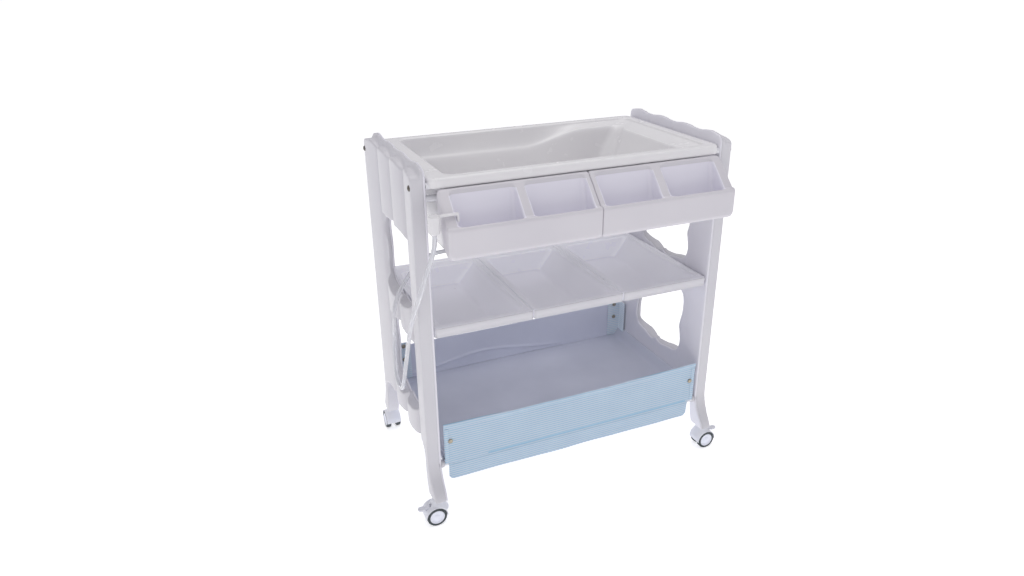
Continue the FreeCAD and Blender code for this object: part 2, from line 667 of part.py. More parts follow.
def castor(corner, at, yaw):
    """Stem, hood, axle, hubs, tyres and brake pedal, built about the stem and turned by yaw."""
    def local_box(name, low, high):
        return box(f"{corner}_{name}", low, high, local=True)

    def across(name, half_width, radius, x, z):
        return cylinder(f"{corner}_{name}", (x, f"-({half_width})", z), radius, f"2 * ({half_width})", "Y",
                        local=True)

    def upright(name, radius, low, high, x="0"):
        return cylinder(f"{corner}_{name}", (x, "0", low), radius, f"({high}) - ({low})", local=True)

    stem = fuse(
        f"castor_{corner}_stem",
        upright("shank", "stem_radius", "40", "sole_height + 28"),
        upright("flange", "9", "sole_height - 2", "sole_height"),
    )

    shoulder = primitive("Cone", f"{corner}_shoulder", ("3", "0", "40"), Radius1="27", Radius2="12", Height="27")
    slab = local_box("slab", ("-30", "-hood_half_width", "36"), ("40", "hood_half_width", "67"))
    arch = across("arch", "hood_half_width", "hood_radius", "trail", "wheel_radius")
    below = local_box("below", ("-40", "-40", "-10"), ("60", "40", "wheel_radius - 2"))
    boss = across("boss", "web_half_width", "8", "trail", "wheel_radius")
    hood_solid = fuse(
        f"{corner}_hood_solid",
        common(f"{corner}_shoulder_cut", shoulder, slab),
        cut(f"{corner}_arch_cut", arch, below),
        boss,
    )
    hollows = [
        upright("stem_bore", "stem_radius + swivel_gap", "39", "68"),
        across("axle_bore", "web_half_width + 1", "axle_radius", "trail", "wheel_radius"),
        local_box("pedal_slot", ("pedal_pivot_x - 7", "-4.9", "pedal_pivot_z - 7"), ("60", "4.9", "70")),
        across("trunnion_bore", "6", "1.6", "pedal_pivot_x", "pedal_pivot_z"),
    ]
    for tag, start in (("a", "web_half_width"), ("b", "-web_half_width - 30")):
        hollows.append(cylinder(f"{corner}_well_{tag}", ("trail", start, "wheel_radius"), "wheel_radius + 0.7",
                                "30", "Y", local=True))
    hood = cut(f"castor_{corner}_hood", hood_solid, fuse(f"{corner}_hollows", *hollows))

    axle = group(f"castor_{corner}_axle", across("axle_rod", "wheel_inner_face + 10", "axle_radius", "trail",
                                                 "wheel_radius"))
    hubs = []
    tyres = []
    for tag, start in (("a", "wheel_inner_face"), ("b", "-wheel_inner_face - wheel_width")):
        at_wheel = ("trail", start, "wheel_radius")
        disc = cylinder(f"{corner}_disc_{tag}", at_wheel, "hub_radius", "wheel_width", "Y", local=True)
        bore_start = "wheel_inner_face - 1" if tag == "a" else "-wheel_inner_face - 10.2"
        bore = cylinder(f"{corner}_hub_bore_{tag}", ("trail", bore_start, "wheel_radius"),
                        "axle_radius + swivel_gap", "11.2", "Y", local=True)
        hubs.append(cut(f"{corner}_hub_{tag}", disc, bore))
        tread = cylinder(f"{corner}_tread_{tag}", at_wheel, "wheel_radius", "wheel_width", "Y", local=True)
        seat = cylinder(f"{corner}_tyre_seat_{tag}", at_wheel, "hub_radius", "wheel_width", "Y", local=True)
        tyres.append(cut(f"{corner}_tyre_{tag}", tread, seat))
    hub_pair = group(f"castor_{corner}_hubs", *hubs)
    tyre_pair = group(f"castor_{corner}_tyres", *tyres)

    pedal = fuse(
        f"castor_{corner}_pedal",
        local_box("tongue", ("pedal_pivot_x", "-4.4", "pedal_pivot_z - 2.5"),
                  ("pedal_pivot_x + 16", "4.4", "pedal_pivot_z + 2.5")),
        across("pedal_boss", "4.4", "4", "pedal_pivot_x", "pedal_pivot_z"),
        across("trunnions", "5.8", "1.5", "pedal_pivot_x", "pedal_pivot_z"),
        local_box("tread_plate", ("pedal_pivot_x + 10", "-7.5", "pedal_pivot_z - 2.5"),
                  ("pedal_pivot_x + 20", "7.5", "pedal_pivot_z + 2.5")),
        upright("toe", "7.5", "pedal_pivot_z - 2.5", "pedal_pivot_z + 2.5", "pedal_pivot_x + 20"),
    )
    for item in (stem, hood, axle, hub_pair, tyre_pair, pedal):
        item.Placement = Placement(Vector(), Rotation(Vector(0, 0, 1), yaw))
        for key, text in zip("xy", from_legs((*at, "0"))):
            item.setExpression("Placement.Base." + key, over_sheet(text))
        subpart(item)


castor("front_left", ("-stem_x", "-stem_y"), 180)
castor("front_right", ("stem_x", "-stem_y"), 0)
castor("rear_left", ("-stem_x", "stem_y"), 90)
castor("rear_right", ("stem_x", "stem_y"), 90)

# ---------------------------------------------------------------- check and export

doc.recompute()
for item in doc.Objects:
    if "Invalid" in item.State or "Error" in item.State:
        raise SystemExit(f"{item.Name} failed: {item.State}")
os.makedirs("parts", exist_ok=True)
for item in subparts:
    if item.Shape.isNull() or not item.Shape.isValid():
        raise SystemExit(f"{item.Label} has no valid shape")
    item.Shape.exportStep(f"parts/{item.Label}.step")
    centre = item.Shape.BoundBox
    print(f"{item.Label:24s} {item.Shape.Volume / 1000:9.2f} cm3  x {centre.XMin:7.1f} {centre.XMax:7.1f}"
          f"  y {centre.YMin:7.1f} {centre.YMax:7.1f}  z {centre.ZMin:7.1f} {centre.ZMax:7.1f}"
          f"  solids {len(item.Shape.Solids)}")
print(len(subparts), "sub-parts")
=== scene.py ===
import math

import bmesh
import bpy
from mathutils import Matrix, Vector, noise


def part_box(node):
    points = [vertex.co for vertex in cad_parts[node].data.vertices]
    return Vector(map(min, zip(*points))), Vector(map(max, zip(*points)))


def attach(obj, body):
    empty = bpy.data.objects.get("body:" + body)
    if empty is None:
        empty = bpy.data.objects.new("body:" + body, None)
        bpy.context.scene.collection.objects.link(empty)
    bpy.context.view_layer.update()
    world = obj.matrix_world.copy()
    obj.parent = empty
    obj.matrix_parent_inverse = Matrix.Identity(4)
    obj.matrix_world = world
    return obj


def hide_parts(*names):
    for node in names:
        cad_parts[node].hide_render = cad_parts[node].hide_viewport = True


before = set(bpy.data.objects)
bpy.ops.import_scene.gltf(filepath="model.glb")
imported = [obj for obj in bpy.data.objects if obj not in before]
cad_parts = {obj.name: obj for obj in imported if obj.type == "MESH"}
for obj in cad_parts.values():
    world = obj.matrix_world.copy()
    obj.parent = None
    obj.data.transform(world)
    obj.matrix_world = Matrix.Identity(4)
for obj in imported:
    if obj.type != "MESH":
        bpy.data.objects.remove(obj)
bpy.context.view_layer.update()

# A baby changing table: moulded white side panels and bath, organiser bins, trays, a cloth basket
# and castors. Metres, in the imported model's frame: +X right, +Y rear, +Z up, floor at Z 0.

LEG_MID_Y = 0.01025                     # the legs' mid-plane: Y 0 is the middle of the whole object


# ---------------------------------------------------------------- materials

def shader(name, color, roughness, **values):
    """A material with its Principled shader's own sockets set, and the handles for adding nodes."""
    material = bpy.data.materials.new(name)
    material.use_nodes = True
    tree = material.node_tree
    principled = tree.nodes["Principled BSDF"]
    principled.inputs["Base Color"].default_value = (*color, 1)
    principled.inputs["Roughness"].default_value = roughness
    for key, value in values.items():
        principled.inputs[key.replace("_", " ")].default_value = value
    return material, tree, principled


def position(tree, scale=(1, 1, 1)):
    """The piece's own coordinates in metres, stretched by scale."""
    coordinates = tree.nodes.new("ShaderNodeTexCoord")
    mapping = tree.nodes.new("ShaderNodeMapping")
    mapping.inputs["Scale"].default_value = scale
    tree.links.new(coordinates.outputs["Object"], mapping.inputs["Vector"])
    return mapping.outputs["Vector"]


def noise_of(tree, scale, detail=3, stretch=(1, 1, 1)):
    """Solid noise with about scale swells a metre."""
    node = tree.nodes.new("ShaderNodeTexNoise")
    node.inputs["Scale"].default_value = scale
    node.inputs["Detail"].default_value = detail
    tree.links.new(position(tree, stretch), node.inputs["Vector"])
    return node.outputs["Fac"]


def ramp(tree, source, low, high, low_at=0.3, high_at=0.7):
    """A colour ramp between two colours."""
    node = tree.nodes.new("ShaderNodeValToRGB")
    node.color_ramp.elements[0].color = (*low, 1)
    node.color_ramp.elements[0].position = low_at
    node.color_ramp.elements[1].color = (*high, 1)
    node.color_ramp.elements[1].position = high_at
    tree.links.new(source, node.inputs["Fac"])
    return node.outputs["Color"]


def vary(tree, principled, source, low, high):
    """Roughness that moves between two values."""
    node = tree.nodes.new("ShaderNodeMapRange")
    node.inputs["To Min"].default_value = low
    node.inputs["To Max"].default_value = high
    tree.links.new(source, node.inputs["Value"])
    tree.links.new(node.outputs["Result"], principled.inputs["Roughness"])


def bump(tree, principled, source, distance, strength=1.0, below=None):
    """Relief from a height source; below is another bump's normal that it adds to."""
    node = tree.nodes.new("ShaderNodeBump")
    node.inputs["Distance"].default_value = distance
    node.inputs["Strength"].default_value = strength
    tree.links.new(source, node.inputs["Height"])
    if below is not None:
        tree.links.new(below, node.inputs["Normal"])
    tree.links.new(node.outputs["Normal"], principled.inputs["Normal"])
    return node.outputs["Normal"]


def bands(tree, axis, period, sharpness=1.0):
    """A wave of 0 to 1 along one axis of the piece, period in metres."""
    split = tree.nodes.new("ShaderNodeSeparateXYZ")
    tree.links.new(position(tree), split.inputs["Vector"])
    turns = tree.nodes.new("ShaderNodeMath")
    turns.operation = "MULTIPLY"
    turns.inputs[1].default_value = 2 * math.pi / period
    tree.links.new(split.outputs[axis], turns.inputs[0])
    sine = tree.nodes.new("ShaderNodeMath")
    sine.operation = "SINE"
    tree.links.new(turns.outputs[0], sine.inputs[0])
    level = tree.nodes.new("ShaderNodeMath")
    level.operation = "MULTIPLY_ADD"
    level.use_clamp = True
    level.inputs[1].default_value = 0.5 * sharpness
    level.inputs[2].default_value = 0.5
    tree.links.new(sine.outputs[0], level.inputs[0])
    return level.outputs[0]


def moulded_plastic(name, low, high, roughness, grain=0.00012, painted_glow=0.0):
    """Satin moulded plastic: cloudy tone, fine grain, slow unevenness, and a glow of painted light for
    pieces that lie in shade.
    """
    material, tree, principled = shader(name, high, roughness, Coat_Weight=0.12, Coat_Roughness=0.3,
                                        Emission_Color=(0.93, 0.94, 1, 1), Emission_Strength=painted_glow)
    cloud = noise_of(tree, 5.0, 2)
    tree.links.new(ramp(tree, cloud, low, high), principled.inputs["Base Color"])
    vary(tree, principled, noise_of(tree, 28.0, 3), roughness - 0.06, roughness + 0.08)
    slow = bump(tree, principled, noise_of(tree, 9.0, 1), 0.0008, 0.3)
    if grain:
        bump(tree, principled, noise_of(tree, 900.0, 2), grain, 0.5, slow)
    return material


def powder_coat():
    """The tubes' white powder coat."""
    material, tree, principled = shader("white_powder_coat", (0.8, 0.8, 0.83), 0.34)
    tree.links.new(ramp(tree, noise_of(tree, 40.0), (0.76, 0.76, 0.8), (0.83, 0.83, 0.86)),
                   principled.inputs["Base Color"])
    bump(tree, principled, noise_of(tree, 1200.0, 2), 0.00015, 0.6)
    return material


def metal(name, low, high, roughness):
    """Plated metal with faint scratches and patches."""
    material, tree, principled = shader(name, high, roughness, Metallic=1.0)
    tree.links.new(ramp(tree, noise_of(tree, 160.0, 4), low, high), principled.inputs["Base Color"])
    vary(tree, principled, noise_of(tree, 400.0, 3), roughness - 0.08, roughness + 0.12)
    bump(tree, principled, noise_of(tree, 900.0, 3, (1, 1, 0.2)), 0.00012, 0.5)
    return material


def soft_vinyl():
    """The hose's milky, see-through vinyl."""
    material, tree, principled = shader("soft_vinyl", (0.86, 0.86, 0.9), 0.2, IOR=1.35,
                                        Transmission_Weight=0.45, Coat_Weight=0.3)
    tree.links.new(ramp(tree, noise_of(tree, 30.0), (0.8, 0.81, 0.86), (0.9, 0.9, 0.93)),
                   principled.inputs["Base Color"])
    bump(tree, principled, noise_of(tree, 220.0, 2), 0.0002, 0.4)
    return material


def rubber(name, low, high):
    """Matt rubber with a fine grain."""
    material, tree, principled = shader(name, high, 0.62)
    tree.links.new(ramp(tree, noise_of(tree, 120.0, 4), low, high), principled.inputs["Base Color"])
    bump(tree, principled, noise_of(tree, 1500.0, 3), 0.0002, 0.8)
    return material


def woven_cloth(name, ground, stripe, period, weave=0.0011):
    """Thin woven cloth with fine level stripes, thread relief and soft creases."""
    material, tree, principled = shader(name, ground, 0.82, Sheen_Weight=0.25, Sheen_Roughness=0.5)
    colour = ramp(tree, bands(tree, "Z", period, 1.6), ground, stripe, 0.25, 0.8)
    shade = tree.nodes.new("ShaderNodeMix")
    shade.data_type = "RGBA"
    shade.blend_type = "MULTIPLY"
    shade.inputs["Factor"].default_value = 0.35
    tree.links.new(colour, shade.inputs["A"])
    tree.links.new(ramp(tree, noise_of(tree, 24.0, 4), (0.88, 0.9, 0.94), (1, 1, 1)), shade.inputs["B"])
    tree.links.new(shade.outputs["Result"], principled.inputs["Base Color"])
    creases = bump(tree, principled, noise_of(tree, 30.0, 3, (0.6, 1, 1.5)), 0.004, 0.25)
    level = bump(tree, principled, bands(tree, "Z", weave), 0.0003, 0.5, creases)
    bump(tree, principled, bands(tree, "X", weave), 0.0003, 0.5, level)
    return material


def lining(name, low, high):
    """Smooth coated lining, grey with a violet cast, softly creased."""
    material, tree, principled = shader(name, high, 0.5, Sheen_Weight=0.2, Sheen_Roughness=0.4)
    tree.links.new(ramp(tree, noise_of(tree, 4.0, 3), low, high), principled.inputs["Base Color"])
    creases = bump(tree, principled, noise_of(tree, 11.0, 3), 0.006, 0.3)
    bump(tree, principled, noise_of(tree, 700.0, 2), 0.0002, 0.5, creases)
    return material


WHITE = moulded_plastic("white_polypropylene", (0.615, 0.605, 0.65), (0.66, 0.65, 0.685), 0.36)
# The panels' inner shells: the same white plastic painted brighter and slightly bluer, painted light with a
# painted lavender shade tint on faces that lie in shade.
INNER_WHITE_PAINTED_LIGHT = moulded_plastic("inner_painted_light_polypropylene", (0.76, 0.75, 0.815), (0.80, 0.79, 0.845), 0.36)
BATH = moulded_plastic("bath_polypropylene", (0.79, 0.78, 0.80), (0.825, 0.815, 0.825), 0.24, 0)
BIN = moulded_plastic("bin_polypropylene", (0.635, 0.615, 0.66), (0.67, 0.65, 0.69), 0.38)
# The pockets' insides: the bin plastic painted brighter and bluer, painted light with a painted lavender
# shade tint in the hollows.
PAINTED_LIGHT_POCKETS = moulded_plastic("pocket_painted_light_polypropylene", (0.78, 0.765, 0.85), (0.82, 0.805, 0.885), 0.36)
# The trays: the same white plastic painted much brighter and given a faint glow, painted light against the
# shade under the bins and the bath.
TRAY = moulded_plastic("tray_polypropylene", (0.87, 0.865, 0.925), (0.91, 0.905, 0.96), 0.3, 0, 0.035)
# The trays' back walls: a still brighter copy of the tray plastic with a stronger glow, painted light that
# makes the walls facing the front lighter than the well's floor.
TRAY_BACK_PAINTED_LIGHT = moulded_plastic("tray_back_painted_light_polypropylene", (0.88, 0.875, 0.935), (0.92, 0.915, 0.97), 0.28, 0,
                            0.12)
NYLON = moulded_plastic("castor_nylon", (0.74, 0.75, 0.81), (0.79, 0.80, 0.86), 0.4)
HUB = moulded_plastic("hub_nylon", (0.82, 0.84, 0.94), (0.87, 0.89, 0.98), 0.32)
CAP = moulded_plastic("cap_polypropylene", (0.70, 0.69, 0.71), (0.78, 0.77, 0.79), 0.42)
COAT = powder_coat()
ZINC = metal("dark_zinc", (0.1, 0.09, 0.08), (0.24, 0.22, 0.2), 0.34)
STEEL = metal("bright_zinc", (0.5, 0.5, 0.5), (0.66, 0.66, 0.65), 0.3)
BRASS = metal("antique_brass", (0.3, 0.26, 0.2), (0.5, 0.45, 0.36), 0.3)
VINYL = soft_vinyl()
TYRE = rubber("tyre_rubber", (0.035, 0.045, 0.05), (0.07, 0.085, 0.095))
STOPPER = rubber("stopper_rubber", (0.6, 0.6, 0.63), (0.68, 0.68, 0.71))
STRIPES = woven_cloth("striped_cloth", (0.38, 0.58, 0.73), (0.62, 0.68, 0.79), 0.0062)
HEM = woven_cloth("hem_cloth", (0.41, 0.61, 0.76), (0.63, 0.70, 0.81), 0.0062)
STRAP = woven_cloth("strap_cloth", (0.70, 0.84, 0.94), (0.88, 0.92, 0.96), 0.0062)
# A darker blue strip along the front wall's foot: a painted shadow line where the wall's hem overhangs the
# skirt.
SHADOW_LINE_CLOTH = woven_cloth("painted_shadow_line_cloth", (0.26, 0.50, 0.70), (0.34, 0.57, 0.75), 0.0062)
LINING = lining("grey_lining", (0.56, 0.58, 0.67), (0.68, 0.70, 0.79))
REAR_LINING = lining("rear_lining", (0.70, 0.72, 0.83), (0.78, 0.80, 0.91))


# ---------------------------------------------------------------- mesh helpers

def piece(name, mesh, material, body, slot, *replaced):
    """A finished piece: its material, the body it rides on and the CAD nodes it stands for; slot is not
    used.
    """
    made = bpy.data.objects.new(name, mesh)
    bpy.context.scene.collection.objects.link(made)
    mesh.materials.clear()
    mesh.materials.append(material)
    for face in mesh.polygons:
        face.use_smooth = True
    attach(made, body)
    if replaced:
        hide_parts(*replaced)
    return made


def further_material(made, material, chosen):
    """Gives the faces for which chosen(centre, normal) holds a material of their own."""
    made.data.materials.append(material)
    for face in made.data.polygons:
        if chosen(face.center, face.normal):
            face.material_index = len(made.data.materials) - 1


def mesh_of(verts, faces):
    """A mesh with its normals all turned outwards."""
    mesh = bpy.data.meshes.new("made")
    mesh.from_pydata([tuple(v) for v in verts], [], faces)
    shaped = bmesh.new()
    shaped.from_mesh(mesh)
    bmesh.ops.recalc_face_normals(shaped, faces=shaped.faces)
    shaped.to_mesh(mesh)
    shaped.free()
    return mesh


def with_modifiers(mesh, *modifiers):
    """The mesh with a list of (type, settings) modifiers applied."""
    holder = bpy.data.objects.new("holder", mesh)
    bpy.context.scene.collection.objects.link(holder)
    for kind, settings in modifiers:
        modifier = holder.modifiers.new(kind, kind)
        for key, value in settings.items():
            setattr(modifier, key, value)
    bpy.context.view_layer.update()
    graph = bpy.context.evaluated_depsgraph_get()
    result = bpy.data.meshes.new_from_object(holder.evaluated_get(graph))
    bpy.data.objects.remove(holder)
    return result


def softened(node, voxel, passes, keep=0.5, filling=()):
    """A CAD node's mesh with every edge rounded as moulding rounds it, and the filling's boxes added."""
    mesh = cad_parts[node].data.copy()
    if filling:
        shaped = bmesh.new()
        shaped.from_mesh(mesh)
        for low, high in filling:
            stretch = Matrix.Diagonal((*(high - low), 1))
            bmesh.ops.create_cube(shaped, size=1, matrix=Matrix.Translation((low + high) / 2) @ stretch)
        shaped.to_mesh(mesh)
        shaped.free()
    return remeshed(mesh, voxel, passes, keep)


def remeshed(mesh, voxel, passes, keep):
    """The mesh rebuilt in even faces, smoothed over so many passes and thinned to a share of them."""
    return with_modifiers(
        mesh,
        ("REMESH", {"mode": "VOXEL", "voxel_size": voxel}),
        ("SMOOTH", {"factor": 0.5, "iterations": passes}),
        ("DECIMATE", {"ratio": keep}),
    )


def band_faces(loops, count):
    """The faces that join a run of loops, each of count points, into one skin."""
    faces = []
    for level in range(loops - 1):
        for index in range(count):
            after = (index + 1) % count
            faces.append((level * count + index, level * count + after, (level + 1) * count + after,
                          (level + 1) * count + index))
    return faces


def smoothstep(low, high, value):
    """0 below low, 1 above high, and an even rise between them."""
    share = min(max((value - low) / (high - low), 0), 1)
    return share * share * (3 - 2 * share)


def shade_flat(name, material):
    """Gives a carried-over CAD node its material."""
    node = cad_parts[name]
    node.data.materials.clear()
    node.data.materials.append(material)


# ---------------------------------------------------------------- camera

CAMERA_PLACE = (-0.7858, -1.6394 + LEG_MID_Y, 1.2614)
CAMERA_ANGLES = (-22.98, 23.63, -0.604)  # azimuth from the front, height above the level, and roll
CAMERA_LENS = 26.34


def camera():
    """The camera, to the left of the front and looking down, with a slight roll."""
    azimuth, elevation, roll = (math.radians(angle) for angle in CAMERA_ANGLES)
    right = Vector((math.cos(azimuth), math.sin(azimuth), 0))
    back = Vector((math.sin(azimuth) * math.cos(elevation), -math.cos(azimuth) * math.cos(elevation),
                   math.sin(elevation)))
    up = back.cross(right)
    rolled_right = math.cos(roll) * right + math.sin(roll) * up
    rolled_up = math.cos(roll) * up - math.sin(roll) * right
    data = bpy.data.cameras.new("camera")
    data.lens = CAMERA_LENS
    data.clip_start = 0.05
    made = bpy.data.objects.new("camera", data)
    turn = Matrix([[rolled_right[i], rolled_up[i], back[i]] for i in range(3)]).to_4x4()
    made.matrix_world = Matrix.Translation(CAMERA_PLACE) @ turn
    bpy.context.scene.collection.objects.link(made)
    bpy.context.scene.camera = made


camera()

# ---------------------------------------------------------------- drain hose

HOSE_ROUTE = [
    (-0.262, 0, 0.613),
    (-0.292, 0, 0.613),
    (-0.324, -0.004, 0.604),
    (-0.356, -0.012, 0.581),
    (-0.386, -0.020, 0.548),
    (-0.409, -0.029, 0.508),
    (-0.416, -0.035, 0.460),
    (-0.416, -0.030, 0.412),
    (-0.416, -0.020, 0.364),
    (-0.416, -0.019, 0.322),
    (-0.416, -0.032, 0.3035),
    (-0.416, -0.054, 0.296),
    (-0.416, -0.077, 0.303),
    (-0.417, -0.100, 0.334),
    (-0.418, -0.129, 0.390),
    (-0.418, -0.161, 0.450),
    (-0.419, -0.194, 0.512),
    (-0.417, -0.226, 0.566),
    (-0.407, -0.242, 0.606),
    (-0.395, -0.250, 0.650),
    (-0.382, -0.260, 0.694),
    (-0.372, -0.267, 0.732),
    (-0.372, -0.267, 0.757),
]
HOSE_DIAMETER = 0.010


def hose():
    """The hose: a smooth curve over the route, from the drain's barb to the cap."""
    curve = bpy.data.curves.new("drain_hose_curve", "CURVE")
    curve.dimensions = "3D"
    curve.bevel_depth = HOSE_DIAMETER / 2
    curve.bevel_resolution = 6
    curve.resolution_u = 10
    curve.use_fill_caps = True
    line = curve.splines.new("NURBS")
    line.points.add(len(HOSE_ROUTE) - 1)
    for point, (x, y, z) in zip(line.points, HOSE_ROUTE):
        point.co = (x, y + LEG_MID_Y, z, 1)
    line.order_u = 3
    line.use_endpoint_u = True
    made = bpy.data.objects.new("drain_hose_vinyl", curve)
    bpy.context.scene.collection.objects.link(made)
    curve.materials.append(VINYL)
    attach(made, "frame")
    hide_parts("drain_hose")
    return made


hose_line = hose()
hose_cap = piece("hose_cap_moulded", softened("hose_cap", 0.0011, 12), CAP, "frame", "cap_plastic",
                 "hose_cap")
piece("hose_hook_moulded", softened("hose_hook", 0.0007, 5), CAP, "frame", "cap_plastic", "hose_hook")

# ---------------------------------------------------------------- side panels

PANEL_LOW, PANEL_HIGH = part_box("right_panel_outer")
INNER_LOW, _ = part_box("right_panel_inner")
GROOVES = (-0.110, 0.0, 0.105)          # upright lines on the inner faces, from the legs' mid-plane
GROOVE_DEPTH = 0.0014
GROOVE_WIDTH = 0.004
CREASES = (-0.108, 0.0, 0.108)          # where the outer face's four slats meet
CREASE_DEPTH = 0.007
CREASE_WIDTH = 0.0075
CREASE_DIP = 0.010                      # how much lower than a slat's top the creases end
CROWN = 0.012                           # how far the slats' tops fall below the inner skin
SPLIT_X = PANEL_LOW.x                   # where the two skins of a panel meet
SEAM_LAP = 0.0018                       # how far each skin is drawn over that line
FILL_DEPTH = 0.012
HOLLOWS = (                             # an outer skin's: Y from the legs' mid-plane and Z, low and high
    ((-0.2025, 0.199), (-0.1145, 0.851)),
    ((0.1145, 0.199), (0.2025, 0.851)),
    ((-0.1165, 0.7105), (0.1165, 0.851)),
    ((-0.1165, 0.4505), (0.1165, 0.5095)),
    ((-0.1165, 0.179), (0.1165, 0.2315)),
)


def hollows(sign):
    """The boxes that fill an outer skin's hollows, which the inner skin hides."""
    x_low, x_high = sorted((sign * SPLIT_X, sign * (SPLIT_X + FILL_DEPTH)))
    return [(Vector((x_low, y_low + LEG_MID_Y, z_low)), Vector((x_high, y_high + LEG_MID_Y, z_high)))
            for (y_low, z_low), (y_high, z_high) in HOLLOWS]


def near(value, places, width):
    """1 at any of the places, falling off over width."""
    return max(math.exp(-((value - place) / width) ** 2) for place in places)


def panel(side, skin):
    """One shell of a side panel: slats with deep creases outside, faint upright grooves inside."""
    sign = -1 if side == "left" else 1
    name = f"{side}_panel_{skin}"
    mesh = softened(name, 0.0027, 9, 0.42, hollows(sign) if skin == "outer" else ())
    inner_x, outer_x, top = INNER_LOW.x, PANEL_HIGH.x, PANEL_HIGH.z
    for vertex in mesh.vertices:
        spot = vertex.co
        across = abs(spot.x)
        y = spot.y - LEG_MID_Y
        near_top = smoothstep(top - 0.045, top - 0.006, spot.z)
        if skin == "inner":
            spot.z -= 0.002 * smoothstep(inner_x + 0.003, SPLIT_X, across) * near_top
            if across < inner_x + 0.002:
                spot.x += sign * GROOVE_DEPTH * near(y, GROOVES, GROOVE_WIDTH)
            spot.x += sign * SEAM_LAP * smoothstep(SPLIT_X - 0.002, SPLIT_X, across)
        else:
            crease = near(y, CREASES, CREASE_WIDTH)
            wide_crease = near(y, CREASES, 2.6 * CREASE_WIDTH)
            outward = smoothstep(SPLIT_X + 0.001, SPLIT_X + 0.009, across)
            spot.z -= (CROWN + CREASE_DIP * wide_crease) * outward * near_top
            spot.x -= sign * CREASE_DEPTH * crease * smoothstep(SPLIT_X + 0.006, outer_x - 0.010, across)
            spot.x -= sign * SEAM_LAP * (1 - smoothstep(SPLIT_X, SPLIT_X + 0.002, across))
    # Inner shells take the brightened, bluer copy of the white: painted light on the inward faces.
    piece(name + "_moulded", mesh, WHITE if skin == "outer" else INNER_WHITE_PAINTED_LIGHT, "frame", "white_plastic", name)


for side in ("left", "right"):
    for skin in ("inner", "outer"):
        panel(side, skin)

# ---------------------------------------------------------------- lofted basins

CORNER_STEPS = 14
SIDE_STEPS = 26
QUARTER_TURN = [math.radians(18 * step) for step in range(6)]


def ring(x_low, x_high, y_low, y_high, radius, z):
    """A closed loop of points round a rectangle with round corners, counted alike for any size."""
    corners = ((x_high, y_high, 1, 1, 0), (x_low, y_high, -1, 1, 90), (x_low, y_low, -1, -1, 180),
               (x_high, y_low, 1, -1, 270))
    arcs = []
    for x, y, across, along, start in corners:
        centre = Vector((x - across * radius, y - along * radius, z))
        arc = []
        for step in range(CORNER_STEPS + 1):
            angle = math.radians(start + 90 * step / CORNER_STEPS)
            arc.append(centre + radius * Vector((math.cos(angle), math.sin(angle), 0)))
        arcs.append(arc)
    points = []
    for arc, following in zip(arcs, arcs[1:] + arcs[:1]):
        points += arc
        points += [arc[-1].lerp(following[0], step / SIDE_STEPS) for step in range(1, SIDE_STEPS)]
    return points


def loft(rings):
    """A closed skin over a run of rings, capped at both ends."""
    count = len(rings[0])
    verts = [point for loop in rings for point in loop]
    faces = band_faces(len(rings), count)
    for base, loop in ((0, rings[0]), ((len(rings) - 1) * count, rings[-1])):
        centre = sum(loop, Vector()) / count
        middle = [point.lerp(centre, 0.5) for point in loop]
        start = len(verts)
        verts += middle + [centre]
        for index in range(count):
            after = (index + 1) % count
            faces.append((base + index, base + after, start + after, start + index))
            faces.append((start + index, start + after, start + count))
    return mesh_of(verts, faces)


def rolled(x_low, x_high, y_low, y_high, radius, top, roll, drop):
    """Rings of a rounded outer edge: up its skirt, from drop below the top, and over a roll."""
    rings = [ring(x_low, x_high, y_low, y_high, radius, top - drop),
             ring(x_low, x_high, y_low, y_high, radius, top - roll * 1.6)]
    for angle in QUARTER_TURN:
        inset = roll * (1 - math.cos(angle))
        height = top - roll * (1 - math.sin(angle))
        rings.append(ring(x_low + inset, x_high - inset, y_low + inset, y_high - inset,
                          max(radius - inset, 0.001), height))
    return rings


# ---------------------------------------------------------------- bath tub

TUB_LOW, TUB_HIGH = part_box("tub")
TUB_WALL = 0.003
RIM_WIDTH = 0.027
RIM_ROLL = 0.0065
RIM_DROP = 0.0225
RIM_CORNER = 0.022
FOOT_SHELF = (0.020, 0)                 # how much wider the rim is at the foot end and at the head end
HEAD_DROP = 0.013                       # from the rim down to the shoulder, at the head end
SHOULDER = (                            # inset past the rim, drop at the foot end, corner radius
    (0.006, 0.045, 0.030),
    (0.012, 0.050, 0.036),
    (0.017, 0.054, 0.042),
    (0.0205, 0.060, 0.048),
)
SHOULDER_STEP = Vector((0, 0, 0.010))   # and the last of these rings lies this much lower


